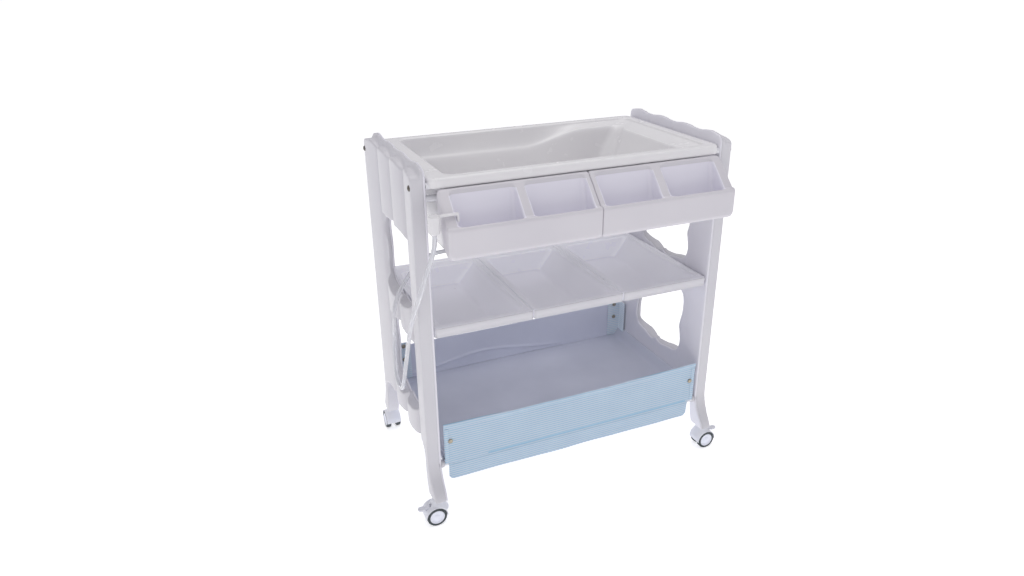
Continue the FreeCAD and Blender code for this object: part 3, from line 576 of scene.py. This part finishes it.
def tub():
    """The bath: rolled rim, a shoulder that rises round the head end, sloping walls and a floor."""
    x_low, x_high, y_low, y_high, top = TUB_LOW.x, TUB_HIGH.x, TUB_LOW.y, TUB_HIGH.y, TUB_HIGH.z
    middle_y = (y_low + y_high) / 2
    floor = TUB_LOW.z

    def inset(by, z, radius, extra=(0, 0)):
        return ring(x_low + by + extra[0], x_high - by - extra[1], y_low + by, y_high - by, radius, z)

    def seat(point, depth):
        """How the shoulder lies: low along the foot end, high and wide round the head end."""
        head = smoothstep(0.02, 0.19, point.x)
        end = smoothstep(0.20, 0.33, point.x) * (1 - smoothstep(0.10, 0.19, abs(point.y - middle_y)))
        point = point.copy()
        point.z = top - depth * (1 - head) - HEAD_DROP * head
        point.x -= 0.034 * end
        point.y += (middle_y - point.y) * 0.06 * head
        return point

    under = [ring(x_low + 0.072, x_high - 0.082, y_low + 0.074, y_high - 0.074, 0.066, floor),
             ring(x_low + 0.067, x_high - 0.077, y_low + 0.069, y_high - 0.069, 0.07, floor + 0.004)]
    walls = [inset(RIM_WIDTH - TUB_WALL, top - RIM_DROP, 0.024),
             inset(RIM_WIDTH - 2 * TUB_WALL, top - 0.012, 0.024)]
    lip = [inset(TUB_WALL, top - 0.006, 0.018), inset(TUB_WALL, top - RIM_DROP, 0.018)]
    outside = rolled(x_low, x_high, y_low, y_high, RIM_CORNER, top, RIM_ROLL, RIM_DROP)
    brow = []
    for angle in QUARTER_TURN:
        by = RIM_WIDTH - RIM_ROLL * (1 - math.sin(angle))
        brow.append(inset(by, top - RIM_ROLL * (1 - math.cos(angle)), 0.024, FOOT_SHELF))
    shoulder = [[seat(point, depth) for point in inset(RIM_WIDTH + past, 0, radius, FOOT_SHELF)]
                for past, depth, radius in SHOULDER]
    shoulder[-1] = [point - SHOULDER_STEP for point in shoulder[-1]]
    low_wall = ring(x_low + 0.080, x_high - 0.150, y_low + 0.066, y_high - 0.066, 0.06, floor + 0.03)
    base = ring(x_low + 0.087, x_high - 0.170, y_low + 0.076, y_high - 0.076, 0.054, floor + 0.008)
    plane = ring(x_low + 0.096, x_high - 0.186, y_low + 0.088, y_high - 0.088, 0.05,
                 floor + TUB_WALL + 0.001)
    between = [[a.lerp(b, share) for a, b in zip(shoulder[-1], low_wall)]
               for share in (0.1, 0.3, 0.5, 0.7, 0.88)]
    loops = [*under, *walls, *lip, *outside, *brow, *shoulder, *between, low_wall, base, plane]
    mesh = with_modifiers(loft(loops), ("SUBSURF", {"levels": 1, "render_levels": 1}))
    piece("bath_tub", mesh, BATH, "frame", "white_plastic", "tub")


tub()

# ---------------------------------------------------------------- trays

TRAY_ROLL = 0.003
TRAY_WALL = 0.003
TRAY_DROP = 0.0225
TRAY_RIM_Z = -0.0038                    # the flat rim inside the lips, from the tray's top
TRAY_BROW = 0.005                       # the radius from that rim down into the well


def tray(node):
    """A drop-in tray: raised lips along its seams, a sloping well with soft corners."""
    low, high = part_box(node)
    x_low, x_high, y_low, y_high, top, bottom = low.x, high.x, low.y, high.y, high.z, low.z

    def inset(by, z, radius):
        return ring(x_low + by, x_high - by, y_low + by, y_high - by, radius, z)

    under = [ring(x_low + 0.040, x_high - 0.052, y_low + 0.086, y_high - 0.056, 0.02, bottom),
             ring(x_low + 0.032, x_high - 0.046, y_low + 0.080, y_high - 0.050, 0.022, bottom + 0.003)]
    walls = [ring(x_low + 0.013, x_high - 0.013, y_low + 0.018, y_high - 0.036, 0.018,
                  top - TRAY_DROP + 0.008),
             inset(TRAY_ROLL + 0.001, top - 0.006, 0.006)]
    skirt = [inset(TRAY_ROLL, top - TRAY_DROP, 0.006)]
    outside = rolled(x_low, x_high, y_low, y_high, 0.008, top, TRAY_ROLL, TRAY_DROP)
    lip = [
        inset(0.0075, top, 0.008),
        inset(0.0095, top - 0.0006, 0.008),
        inset(0.0105, top - 0.002, 0.009),
        inset(0.0115, top - 0.0034, 0.010),
    ]
    band = [ring(x_low + 0.013, x_high - 0.013, y_low + 0.019, y_high - 0.040, 0.014, top + TRAY_RIM_Z)]
    brow = []
    for step in range(1, 6):
        angle = math.radians(14 * step)
        by = 0.016 + TRAY_BROW * math.sin(angle)
        brow.append(ring(x_low + by, x_high - by, y_low + by + 0.004, y_high - by - 0.026, 0.014,
                         top + TRAY_RIM_Z - TRAY_BROW * (1 - math.cos(angle))))
    floor = bottom + TRAY_WALL
    foot = [
        ring(x_low + 0.036, x_high - 0.062, y_low + 0.072, y_high - 0.056, 0.017, floor + 0.008),
        ring(x_low + 0.038, x_high - 0.066, y_low + 0.078, y_high - 0.058, 0.017, floor + 0.003),
        ring(x_low + 0.042, x_high - 0.071, y_low + 0.084, y_high - 0.062, 0.016, floor + 0.0008),
        ring(x_low + 0.048, x_high - 0.077, y_low + 0.090, y_high - 0.068, 0.014, floor + 0.0003),
    ]
    slope = [[a.lerp(b, share) for a, b in zip(brow[-1], foot[0])] for share in (0.06, 0.35, 0.65, 0.95)]
    mesh = loft([*under, *walls, *skirt, *outside, *lip, *band, *brow, *slope, *foot])
    made = piece(node + "_moulded", mesh, TRAY, node, "white_plastic", node)

    def front_band(spot, normal):
        return normal.y < -0.5 and spot.y < y_low + 0.006

    def painted_light_back_wall(spot, normal):
        return normal.y < -0.3 and spot.y > y_high - 0.075 and spot.z > bottom + 0.006

    # The front band keeps the darker outer white: the rest of the tray is painted lighter against shade, and
    # this face, turned to the lights, is not.
    further_material(made, WHITE, front_band)
    # Painted light: the well's back wall takes the brighter, more strongly glowing copy of the tray plastic.
    further_material(made, TRAY_BACK_PAINTED_LIGHT, painted_light_back_wall)


for node in ("tray_left", "tray_middle", "tray_right"):
    tray(node)

# ---------------------------------------------------------------- organiser bins

BIN_END = 0.027                         # the rim band at a module's outer end
BIN_SEAM_BAND = 0.013                   # and where the two modules meet
BIN_DIVIDER = 0.012                     # half of the band between two pockets
BIN_LIP_RADIUS = 0.009
BIN_LIP_FALL = 0.056                    # from the CAD module's top down to the front lip
BIN_REAR_RISE = 0.0055                  # from the CAD module's top up to the rear lip
BIN_REAR_Y = LEG_MID_Y - 0.2115
BIN_HALF_SECTION = 0.05                 # an end's section shrinks by its inset over this
MOUTH_SLOPE = 1.05                      # the slanting mouth's run back for each metre up
POCKET_LEVELS = (                       # Y from the legs' mid-plane and Z, back and front; inset; radius
    ((-0.2625, 0.7112), (-0.2745, 0.7108), 0.018, 0.005),
    ((-0.2600, 0.7122), (-0.2800, 0.7120), 0.012, 0.008),
    ((-0.2575, 0.7165), (-0.2838, 0.7155), 0.009, 0.010),
    ((-0.2440, 0.7520), (-0.2855, 0.7330), 0.005, 0.011),
    ((-0.2290, 0.7950), (-0.2860, 0.7560), 0.002, 0.011),
    ((-0.2225, 0.8170), (-0.2862, 0.7700), 0.000, 0.011),
    ((-0.2205, 0.8330), (-0.2862, 0.7830), -0.001, 0.011),
    ((-0.2190, 0.8700), (-0.2862, 0.8200), -0.001, 0.011),
)


def bin_section():
    """A module's outline in the YZ plane: front, rounded front lip, slanting mouth, rear lip, back."""
    low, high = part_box("bin_left")
    front, back, top, bottom = low.y, BIN_REAR_Y, high.z + BIN_REAR_RISE, low.z
    lip = high.z - BIN_LIP_FALL
    points = [(front + 0.009, bottom), (front + 0.003, bottom + 0.0025), (front, bottom + 0.009)]
    for step in range(6):
        angle = math.radians(24 * step)
        points.append((front + BIN_LIP_RADIUS * (1 - math.cos(angle)),
                       lip - BIN_LIP_RADIUS * (1 - math.sin(angle))))
    points += [(back - 0.010, top - 0.003), (back - 0.005, top), (back, top - 0.002), (back, top - 0.024),
               (back - 0.047, bottom + 0.008), (back - 0.060, bottom)]
    return points


def bin_body(x_low, x_high, round_low, round_high):
    """A module's solid outside, its ends rounded by the given radii."""
    section = bin_section()
    middle_y = sum(y for y, _ in section) / len(section)
    middle_z = sum(z for _, z in section) / len(section)
    stations = [(x_low + round_low * (1 - math.cos(angle)), round_low * (1 - math.sin(angle)))
                for angle in QUARTER_TURN]
    stations += [(x_high - round_high * (1 - math.cos(angle)), round_high * (1 - math.sin(angle)))
                 for angle in reversed(QUARTER_TURN)]
    verts = []
    count = len(section)
    for x, inset in stations:
        share = 1 - inset / BIN_HALF_SECTION
        verts += [Vector((x, middle_y + (y - middle_y) * share, middle_z + (z - middle_z) * share))
                  for y, z in section]
    faces = band_faces(len(stations), count)
    faces.append(tuple(range(count)))
    faces.append(tuple(range((len(stations) - 1) * count, len(stations) * count)))
    return mesh_of(verts, faces)


def bin_pocket(x_low, x_high):
    """The solid to cut out for one pocket: round-cornered rings from its floor up past the mouth."""
    rings = []
    for (back_y, back_z), (front_y, front_z), inset, radius in POCKET_LEVELS:
        back = Vector((0, back_y + LEG_MID_Y, back_z))
        way = Vector((0, front_y - back_y, front_z - back_z))
        depth = way.length
        flat = ring(x_low + inset, x_high - inset, 0, depth, min(radius, depth * 0.48), 0)
        rings.append([back + way * (point.y / depth) + Vector((point.x, 0, 0)) for point in flat])
    return loft(rings)


def cut_out(mesh, *tools):
    """The mesh with the tools' solids cut away."""
    for tool in tools:
        cutter = bpy.data.objects.new("cutter", tool)
        bpy.context.scene.collection.objects.link(cutter)
        mesh = with_modifiers(mesh, ("BOOLEAN", {"object": cutter, "operation": "DIFFERENCE",
                                                 "solver": "EXACT"}))
        bpy.data.objects.remove(cutter)
    return mesh


def organiser_bin(node, round_low, round_high):
    """One module: its two pockets cut out, and every edge softened."""
    low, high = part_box(node)
    end_low = BIN_END if round_low > round_high else BIN_SEAM_BAND
    end_high = BIN_END if round_high > round_low else BIN_SEAM_BAND
    middle = (low.x + end_low + high.x - end_high) / 2
    pockets = ((low.x + end_low, middle - BIN_DIVIDER), (middle + BIN_DIVIDER, high.x - end_high))
    body = bin_body(low.x, high.x, round_low, round_high)
    mesh = remeshed(cut_out(body, *(bin_pocket(*pocket) for pocket in pockets)), 0.0018, 7, 0.4)
    made = piece(node + "_moulded", mesh, BIN, "frame", "white_plastic", node)

    def in_pocket(spot, normal):
        """Whether a face lies inside a pocket: behind the slanting mouth and not on the outside."""
        across = any(start - 0.003 < spot.x < end + 0.003 for start, end in pockets)
        mouth = low.y + 0.008 + (spot.z - high.z + BIN_LIP_FALL) * MOUTH_SLOPE
        front = normal.y < -0.4 and spot.y < low.y + 0.012
        back = normal.y > 0.2 and spot.y > low.y + 0.02
        outside = front or back or normal.z < -0.2
        return across and spot.y > mouth and spot.z < high.z - 0.006 and not outside

    # Painted light: faces inside the pockets take the brighter, lavender copy of the bin plastic.
    further_material(made, PAINTED_LIGHT_POCKETS, in_pocket)


organiser_bin("bin_left", 0.011, 0.0035)
organiser_bin("bin_right", 0.0035, 0.011)

# ---------------------------------------------------------------- drain fittings

piece("drain_outlet_moulded", softened("drain_outlet", 0.0008, 3), BATH, "frame", "drain_white",
      "drain_outlet")
piece("drain_nut_moulded", softened("drain_nut", 0.0009, 4), BATH, "frame", "drain_white", "drain_nut")
piece("drain_stopper", softened("drain_plug", 0.0008, 6), STOPPER, "drain_plug", "plug_rubber",
      "drain_plug")

# ---------------------------------------------------------------- cloth basket

CLOTH_FRONT_LOW, CLOTH_FRONT_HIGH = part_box("basket_front")
SKIRT_LOW, SKIRT_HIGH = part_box("basket_skirt")
REAR_LOW, REAR_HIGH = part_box("basket_rear")
FLOOR_LOW, FLOOR_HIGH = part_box("basket_floor")
TUBE_LOW, TUBE_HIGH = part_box("base_tube_front")
CLOTH = 0.0014
LINING_SPREAD = 0.0072                  # the floor's lining reaches past its board to the panels
LINING_TURN_UP = 0.030                  # and turns up against them
SKIRT_WRAP = 150                        # degrees round the front tube
SKIRT_CORNER = 0.012


def cloth_mesh(columns, rows, at):
    """A sheet of cloth from at(u, v), given as a thin closed mesh."""
    verts = [at(column / columns, row / rows) for row in range(rows + 1) for column in range(columns + 1)]
    faces = []
    for row in range(rows):
        for column in range(columns):
            corner = row * (columns + 1) + column
            faces.append((corner, corner + 1, corner + columns + 2, corner + columns + 1))
    mesh = bpy.data.meshes.new("made")
    mesh.from_pydata([tuple(v) for v in verts], [], faces)
    return with_modifiers(
        mesh,
        ("SOLIDIFY", {"thickness": CLOTH, "offset": 0}),
        ("SUBSURF", {"levels": 1, "render_levels": 1}),
    )


def ripple(x, y, z, size=14.0):
    """Slow unevenness between -1 and 1, finer for a larger size."""
    return noise.noise(Vector((x, y, z)) * size)


def basket_front():
    """The front wall: gently rippled between its snaps, its top edge dipping at the ends."""
    width = CLOTH_FRONT_HIGH.x - CLOTH_FRONT_LOW.x
    height = CLOTH_FRONT_HIGH.z - CLOTH_FRONT_LOW.z
    middle = (CLOTH_FRONT_LOW.y + CLOTH_FRONT_HIGH.y) / 2

    def at(u, v):
        x = CLOTH_FRONT_LOW.x + width * u
        from_end = min(u, 1 - u) * width
        z = CLOTH_FRONT_LOW.z + height * v
        z += v * (0.002 * (1 - smoothstep(0.0, 0.3, u)) + 0.005 * smoothstep(0.6, 1.0, u))
        z -= 0.0025 * v * math.sin(math.pi * u)
        z -= 0.0014 * v * (1 + ripple(x, 0, 2, 6))
        held = smoothstep(0.0, 0.05, from_end)
        y = middle + 0.0022 * ripple(x * 0.7, 0, z) * held * (0.35 + v)
        return Vector((x, y, z))

    made = piece("basket_front_cloth", cloth_mesh(150, 26, at), STRIPES, "frame", "striped_cloth",
                 "basket_front")
    # The wall's lowest strip is painted darker blue: a painted shadow line above the skirt.
    further_material(made, SHADOW_LINE_CLOTH, lambda spot, _: spot.z < CLOTH_FRONT_LOW.z + 0.0042
                    and -0.245 < spot.x < 0.335)
    return at


front_at = basket_front()


def basket_hems():
    """The turned hem along the front wall's top, and the two upright seams beside its ends."""
    lift = CLOTH * 0.9

    def top_hem(u, v):
        spot = front_at(u, 0.885 + 0.112 * v)
        return spot + Vector((0, -lift * (1 + 0.3 * math.sin(math.pi * v)), 0))

    made = piece("basket_top_hem", cloth_mesh(150, 4, top_hem), HEM, "frame", "striped_cloth")
    for side, start in (("left", 0.003), ("right", 0.983)):
        def seam(u, v, start=start):
            spot = front_at(start + 0.014 * u, 0.01 + 0.87 * v)
            return spot + Vector((0, -lift, 0))

        made = piece(f"basket_end_hem_{side}", cloth_mesh(4, 24, seam), HEM, "frame", "striped_cloth")


basket_hems()


def basket_skirt():
    """The skirt: over the front tube from behind, down its front and hanging free with a soft hem."""
    x_low, x_high = SKIRT_LOW.x, SKIRT_HIGH.x
    width = x_high - x_low
    tube = Vector((0, (TUBE_LOW.y + TUBE_HIGH.y) / 2, (TUBE_LOW.z + TUBE_HIGH.z) / 2))
    radius = (TUBE_HIGH.z - TUBE_LOW.z) / 2 + 0.0012
    wrap = radius * math.radians(SKIRT_WRAP)
    drop = tube.z - SKIRT_LOW.z

    def at(u, v):
        x = x_low + width * u
        along = v * (wrap + drop)
        if along < wrap:
            angle = math.radians(60) + along / radius
            y = tube.y + radius * math.cos(angle)
            z = tube.z + radius * math.sin(angle)
            return Vector((x, y, z))
        down = along - wrap
        from_end = min(u, 1 - u) * width
        share = down / drop
        if from_end < SKIRT_CORNER and share > 0.8:
            missing = SKIRT_CORNER - math.sqrt(max(SKIRT_CORNER ** 2 - (SKIRT_CORNER - from_end) ** 2, 0))
            down -= missing * smoothstep(0.8, 1.0, share)
        y = tube.y - radius + 0.0035 * ripple(x * 0.55, 3, 0) * share + 0.003 * share
        return Vector((x, y, tube.z - down + 0.0015 * ripple(x * 0.5, 8, 0) * share))

    made = piece("basket_skirt_cloth", cloth_mesh(140, 22, at), STRIPES, "frame", "striped_cloth",
                 "basket_skirt")


basket_skirt()


def basket_lining():
    """The floor's lining over its board, and the rear wall with a fold that swoops along its foot."""
    x_low, x_high = FLOOR_LOW.x - LINING_SPREAD, FLOOR_HIGH.x + LINING_SPREAD
    front_y = CLOTH_FRONT_HIGH.y + 0.002
    rear_y = REAR_LOW.y + 0.0005
    floor_z = FLOOR_HIGH.z

    def floor_at(u, v):
        x = x_low + (x_high - x_low) * u
        y = front_y + (rear_y - front_y) * v
        swell = math.sin(math.pi * min(max(v, 0.0), 1.0)) ** 0.5
        z = floor_z + 0.0022 + 0.0016 * (1 + ripple(x, y, 5, 7)) * swell
        from_end = min(x - x_low, x_high - x)
        z += LINING_TURN_UP * (1 - smoothstep(0.0, 0.022, from_end)) + 0.006 * smoothstep(0.97, 1.0, v)
        return Vector((x, y, z))

    made = piece("basket_floor_lining", cloth_mesh(160, 50, floor_at), LINING, "frame", "lining_cloth")

    wall_x_low, wall_x_high = REAR_LOW.x, REAR_HIGH.x
    wall_width = wall_x_high - wall_x_low
    foot = REAR_LOW.z + 0.001
    height = REAR_HIGH.z - foot

    def wall_at(u, v):
        x = wall_x_low + wall_width * u
        z = foot + height * v
        swoop_z = foot + 0.018 + 0.030 * math.exp(-((u - 0.36) / 0.22) ** 2)
        fold = math.exp(-((z - swoop_z) / 0.004) ** 2)
        fold = fold * smoothstep(0.0, 0.05, u) * (1 - smoothstep(0.6, 0.8, u))
        seam = math.exp(-((z - foot - 0.012) / 0.002) ** 2)
        y = REAR_LOW.y + 0.001 - 0.0035 * fold - 0.0018 * seam + 0.0016 * ripple(x, 2, z, 9)
        return Vector((x, y, z))

    made = piece("basket_rear_lining", cloth_mesh(130, 60, wall_at), REAR_LINING, "frame", "lining_cloth",
                 "basket_rear")


basket_lining()
shade_flat("basket_floor", LINING)
straps = piece("basket_corner_straps", softened("basket_straps", 0.0011, 3), STRAP, "frame",
               "striped_cloth", "basket_straps")

# ---------------------------------------------------------------- turned pieces

TURN_STEPS = 56


def turned(profile, centre, axis):
    """The points of a profile turned about an axis through centre, and how many loops they make."""
    frame_of = axis.normalized().to_track_quat("Z", "Y").to_matrix()
    verts = []
    for along, radius in profile:
        for step in range(TURN_STEPS):
            angle = 2 * math.pi * step / TURN_STEPS
            local = Vector((radius * math.cos(angle), radius * math.sin(angle), along))
            verts.append(centre + frame_of @ local)
    return verts, len(profile)


def turned_mesh(parts, closed=False):
    """One mesh from several turned parts, each ended with caps or joined to itself."""
    verts, faces = [], []
    for part_verts, loops in parts:
        start = len(verts)
        verts += part_verts
        faces += [tuple(start + index for index in face) for face in band_faces(loops, TURN_STEPS)]
        last = start + (loops - 1) * TURN_STEPS
        if closed:
            for step in range(TURN_STEPS):
                after = (step + 1) % TURN_STEPS
                faces.append((last + step, last + after, start + after, start + step))
        else:
            faces.append(tuple(start + step for step in reversed(range(TURN_STEPS))))
            faces.append(tuple(last + step for step in range(TURN_STEPS)))
    return mesh_of(verts, faces)


def bolts():
    """Domed bolt heads, each with a small round recess, outside the panels."""
    low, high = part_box("panel_bolts")
    radius = 0.0066
    profile = [(-0.0012, radius), (0.0006, radius), (0.0016, radius * 0.95), (0.0026, radius * 0.8),
               (0.0033, radius * 0.58), (0.0035, radius * 0.42), (0.0034, radius * 0.4),
               (0.0008, radius * 0.36)]
    parts = []
    for x, way in ((low.x + 0.0035, -1), (high.x - 0.0035, 1)):
        for y in (low.y + radius, high.y - radius):
            parts.append(turned(profile, Vector((x, y, (low.z + high.z) / 2)), Vector((way, 0, 0))))
    piece("panel_bolt_heads", turned_mesh(parts), ZINC, "frame", "steel", "panel_bolts")


bolts()


FRONT_STUD_Z = 0.211
REAR_STUDS_Z = (0.228, 0.270)


def snaps():
    """Press studs on the cloth: a rimmed cap with a dimple."""
    low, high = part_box("basket_snaps")
    radius = 0.0058
    profile = [(-0.0012, radius), (0.0003, radius), (0.0009, radius * 0.93), (0.0011, radius * 0.82),
               (0.0006, radius * 0.68), (0.0009, radius * 0.5), (0.0014, radius * 0.3),
               (0.0016, radius * 0.08)]
    parts = []
    for side in (-1, 1):
        front_x = side * (high.x - 0.006)
        parts.append(turned(profile, Vector((front_x, low.y + 0.0008, FRONT_STUD_Z)), Vector((0, -1, 0))))
        for z in REAR_STUDS_Z:
            rear_x = side * (high.x - 0.008)
            parts.append(turned(profile, Vector((rear_x, high.y - 0.0022, z)), Vector((0, -1, 0))))
    piece("basket_press_studs", turned_mesh(parts), BRASS, "frame", "snap_metal", "basket_snaps")


snaps()

# ---------------------------------------------------------------- castors

HUB_PROFILE = [(0.0, 0.0185), (0.0115, 0.0187), (0.0126, 0.0180), (0.0130, 0.0170), (0.0127, 0.0160),
               (0.0112, 0.0152), (0.0106, 0.0135), (0.0110, 0.0100), (0.0116, 0.0062), (0.0124, 0.0056),
               (0.0127, 0.0046), (0.0126, 0.0004)]
TYRE_PROFILE = [(0.0002, 0.0188), (0.0002, 0.0228), (0.0010, 0.0242), (0.0024, 0.0249), (0.0040, 0.02500),
                (0.0048, 0.0246), (0.0056, 0.02500), (0.0074, 0.02500), (0.0082, 0.0246), (0.0090, 0.02500),
                (0.0106, 0.0249), (0.0120, 0.0242), (0.0128, 0.0228), (0.0128, 0.0188)]


WHEEL_INNER_FACE = 0.0075               # from a castor's middle out to each wheel


def castor(corner):
    """A twin-wheel castor: softened hood and pedal, turned hubs and grooved tyres."""
    name = f"castor_{corner}_"
    low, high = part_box(name + "tyres")
    centre = (low + high) / 2
    axle = Vector((0, 1, 0)) if "front" in corner else Vector((1, 0, 0))
    hubs, tyres = [], []
    for way in (-1, 1):
        start = centre + way * WHEEL_INNER_FACE * axle
        hubs.append(turned(HUB_PROFILE, start, way * axle))
        tyres.append(turned(TYRE_PROFILE, start, way * axle))
    piece(name + "hub_discs", turned_mesh(hubs), HUB, "wheels_" + corner, "hub_plastic", name + "hubs")
    piece(name + "treads", turned_mesh(tyres, closed=True), TYRE, "wheels_" + corner, "tyre", name + "tyres")
    piece(name + "hood_moulded", softened(name + "hood", 0.0009, 7, 0.4), NYLON, "swivel_" + corner,
          "castor_white", name + "hood")
    piece(name + "brake_lever", softened(name + "pedal", 0.0006, 5, 0.5), NYLON, "brake_" + corner,
          "castor_white", name + "pedal")
    shade_flat(name + "stem", STEEL)
    shade_flat(name + "axle", STEEL)


for corner in ("front_left", "front_right", "rear_left", "rear_right"):
    castor(corner)

# ---------------------------------------------------------------- steel tubes

for node in ("top_rail_front", "top_rail_rear", "shelf_rail_front", "shelf_rail_rear", "base_tube_front",
             "base_tube_rear", "bin_rail"):
    shade_flat(node, COAT)
shade_flat("tube_collars", WHITE)
shade_flat("rail_inserts", ZINC)

# ---------------------------------------------------------------- floor and light

FLOOR_REACH = 60
SKY = (0.96, 0.955, 1.0, 1)
SKY_STRENGTH = 0.52
LIGHTS = (                              # name, place, target, size, watts and tint
    ("key", (-2.4, -2.2, 2.6), (0, 0, 0.5), 2.6, 11, (1.0, 0.985, 0.955)),
    ("fill", (2.6, -2.0, 1.8), (0, 0, 0.5), 2.4, 4, (0.95, 0.95, 1.0)),
    ("top", (0.2, 0.2, 3.4), (0, 0, 0.6), 2.6, 30, (1.0, 0.99, 0.97)),
)


def studio():
    """A white floor that runs out of sight, an even sky and three large soft lights."""
    corners = [(x * FLOOR_REACH, y * FLOOR_REACH, 0) for x, y in ((-1, -1), (1, -1), (1, 1), (-1, 1))]
    floor = bpy.data.objects.new("floor", mesh_of(corners, [(0, 1, 2, 3)]))
    material, _, _ = shader("floor_white", (0.97, 0.97, 0.97), 0.9, Emission_Strength=0.54,
                            Emission_Color=(1, 1, 1, 1))
    floor.data.materials.append(material)
    bpy.context.scene.collection.objects.link(floor)

    world = bpy.data.worlds.new("studio")
    world.use_nodes = True
    world.node_tree.nodes["Background"].inputs["Color"].default_value = SKY
    world.node_tree.nodes["Background"].inputs["Strength"].default_value = SKY_STRENGTH
    bpy.context.scene.world = world

    for name, spot, target, span, power, tint in LIGHTS:
        data = bpy.data.lights.new(name, "AREA")
        data.size = span
        data.energy = power
        data.color = tint
        lamp = bpy.data.objects.new(name, data)
        lamp.location = spot
        lamp.rotation_euler = (Vector(target) - Vector(spot)).to_track_quat("-Z", "Y").to_euler()
        bpy.context.scene.collection.objects.link(lamp)
    bpy.context.scene.view_settings.view_transform = "Standard"


studio()
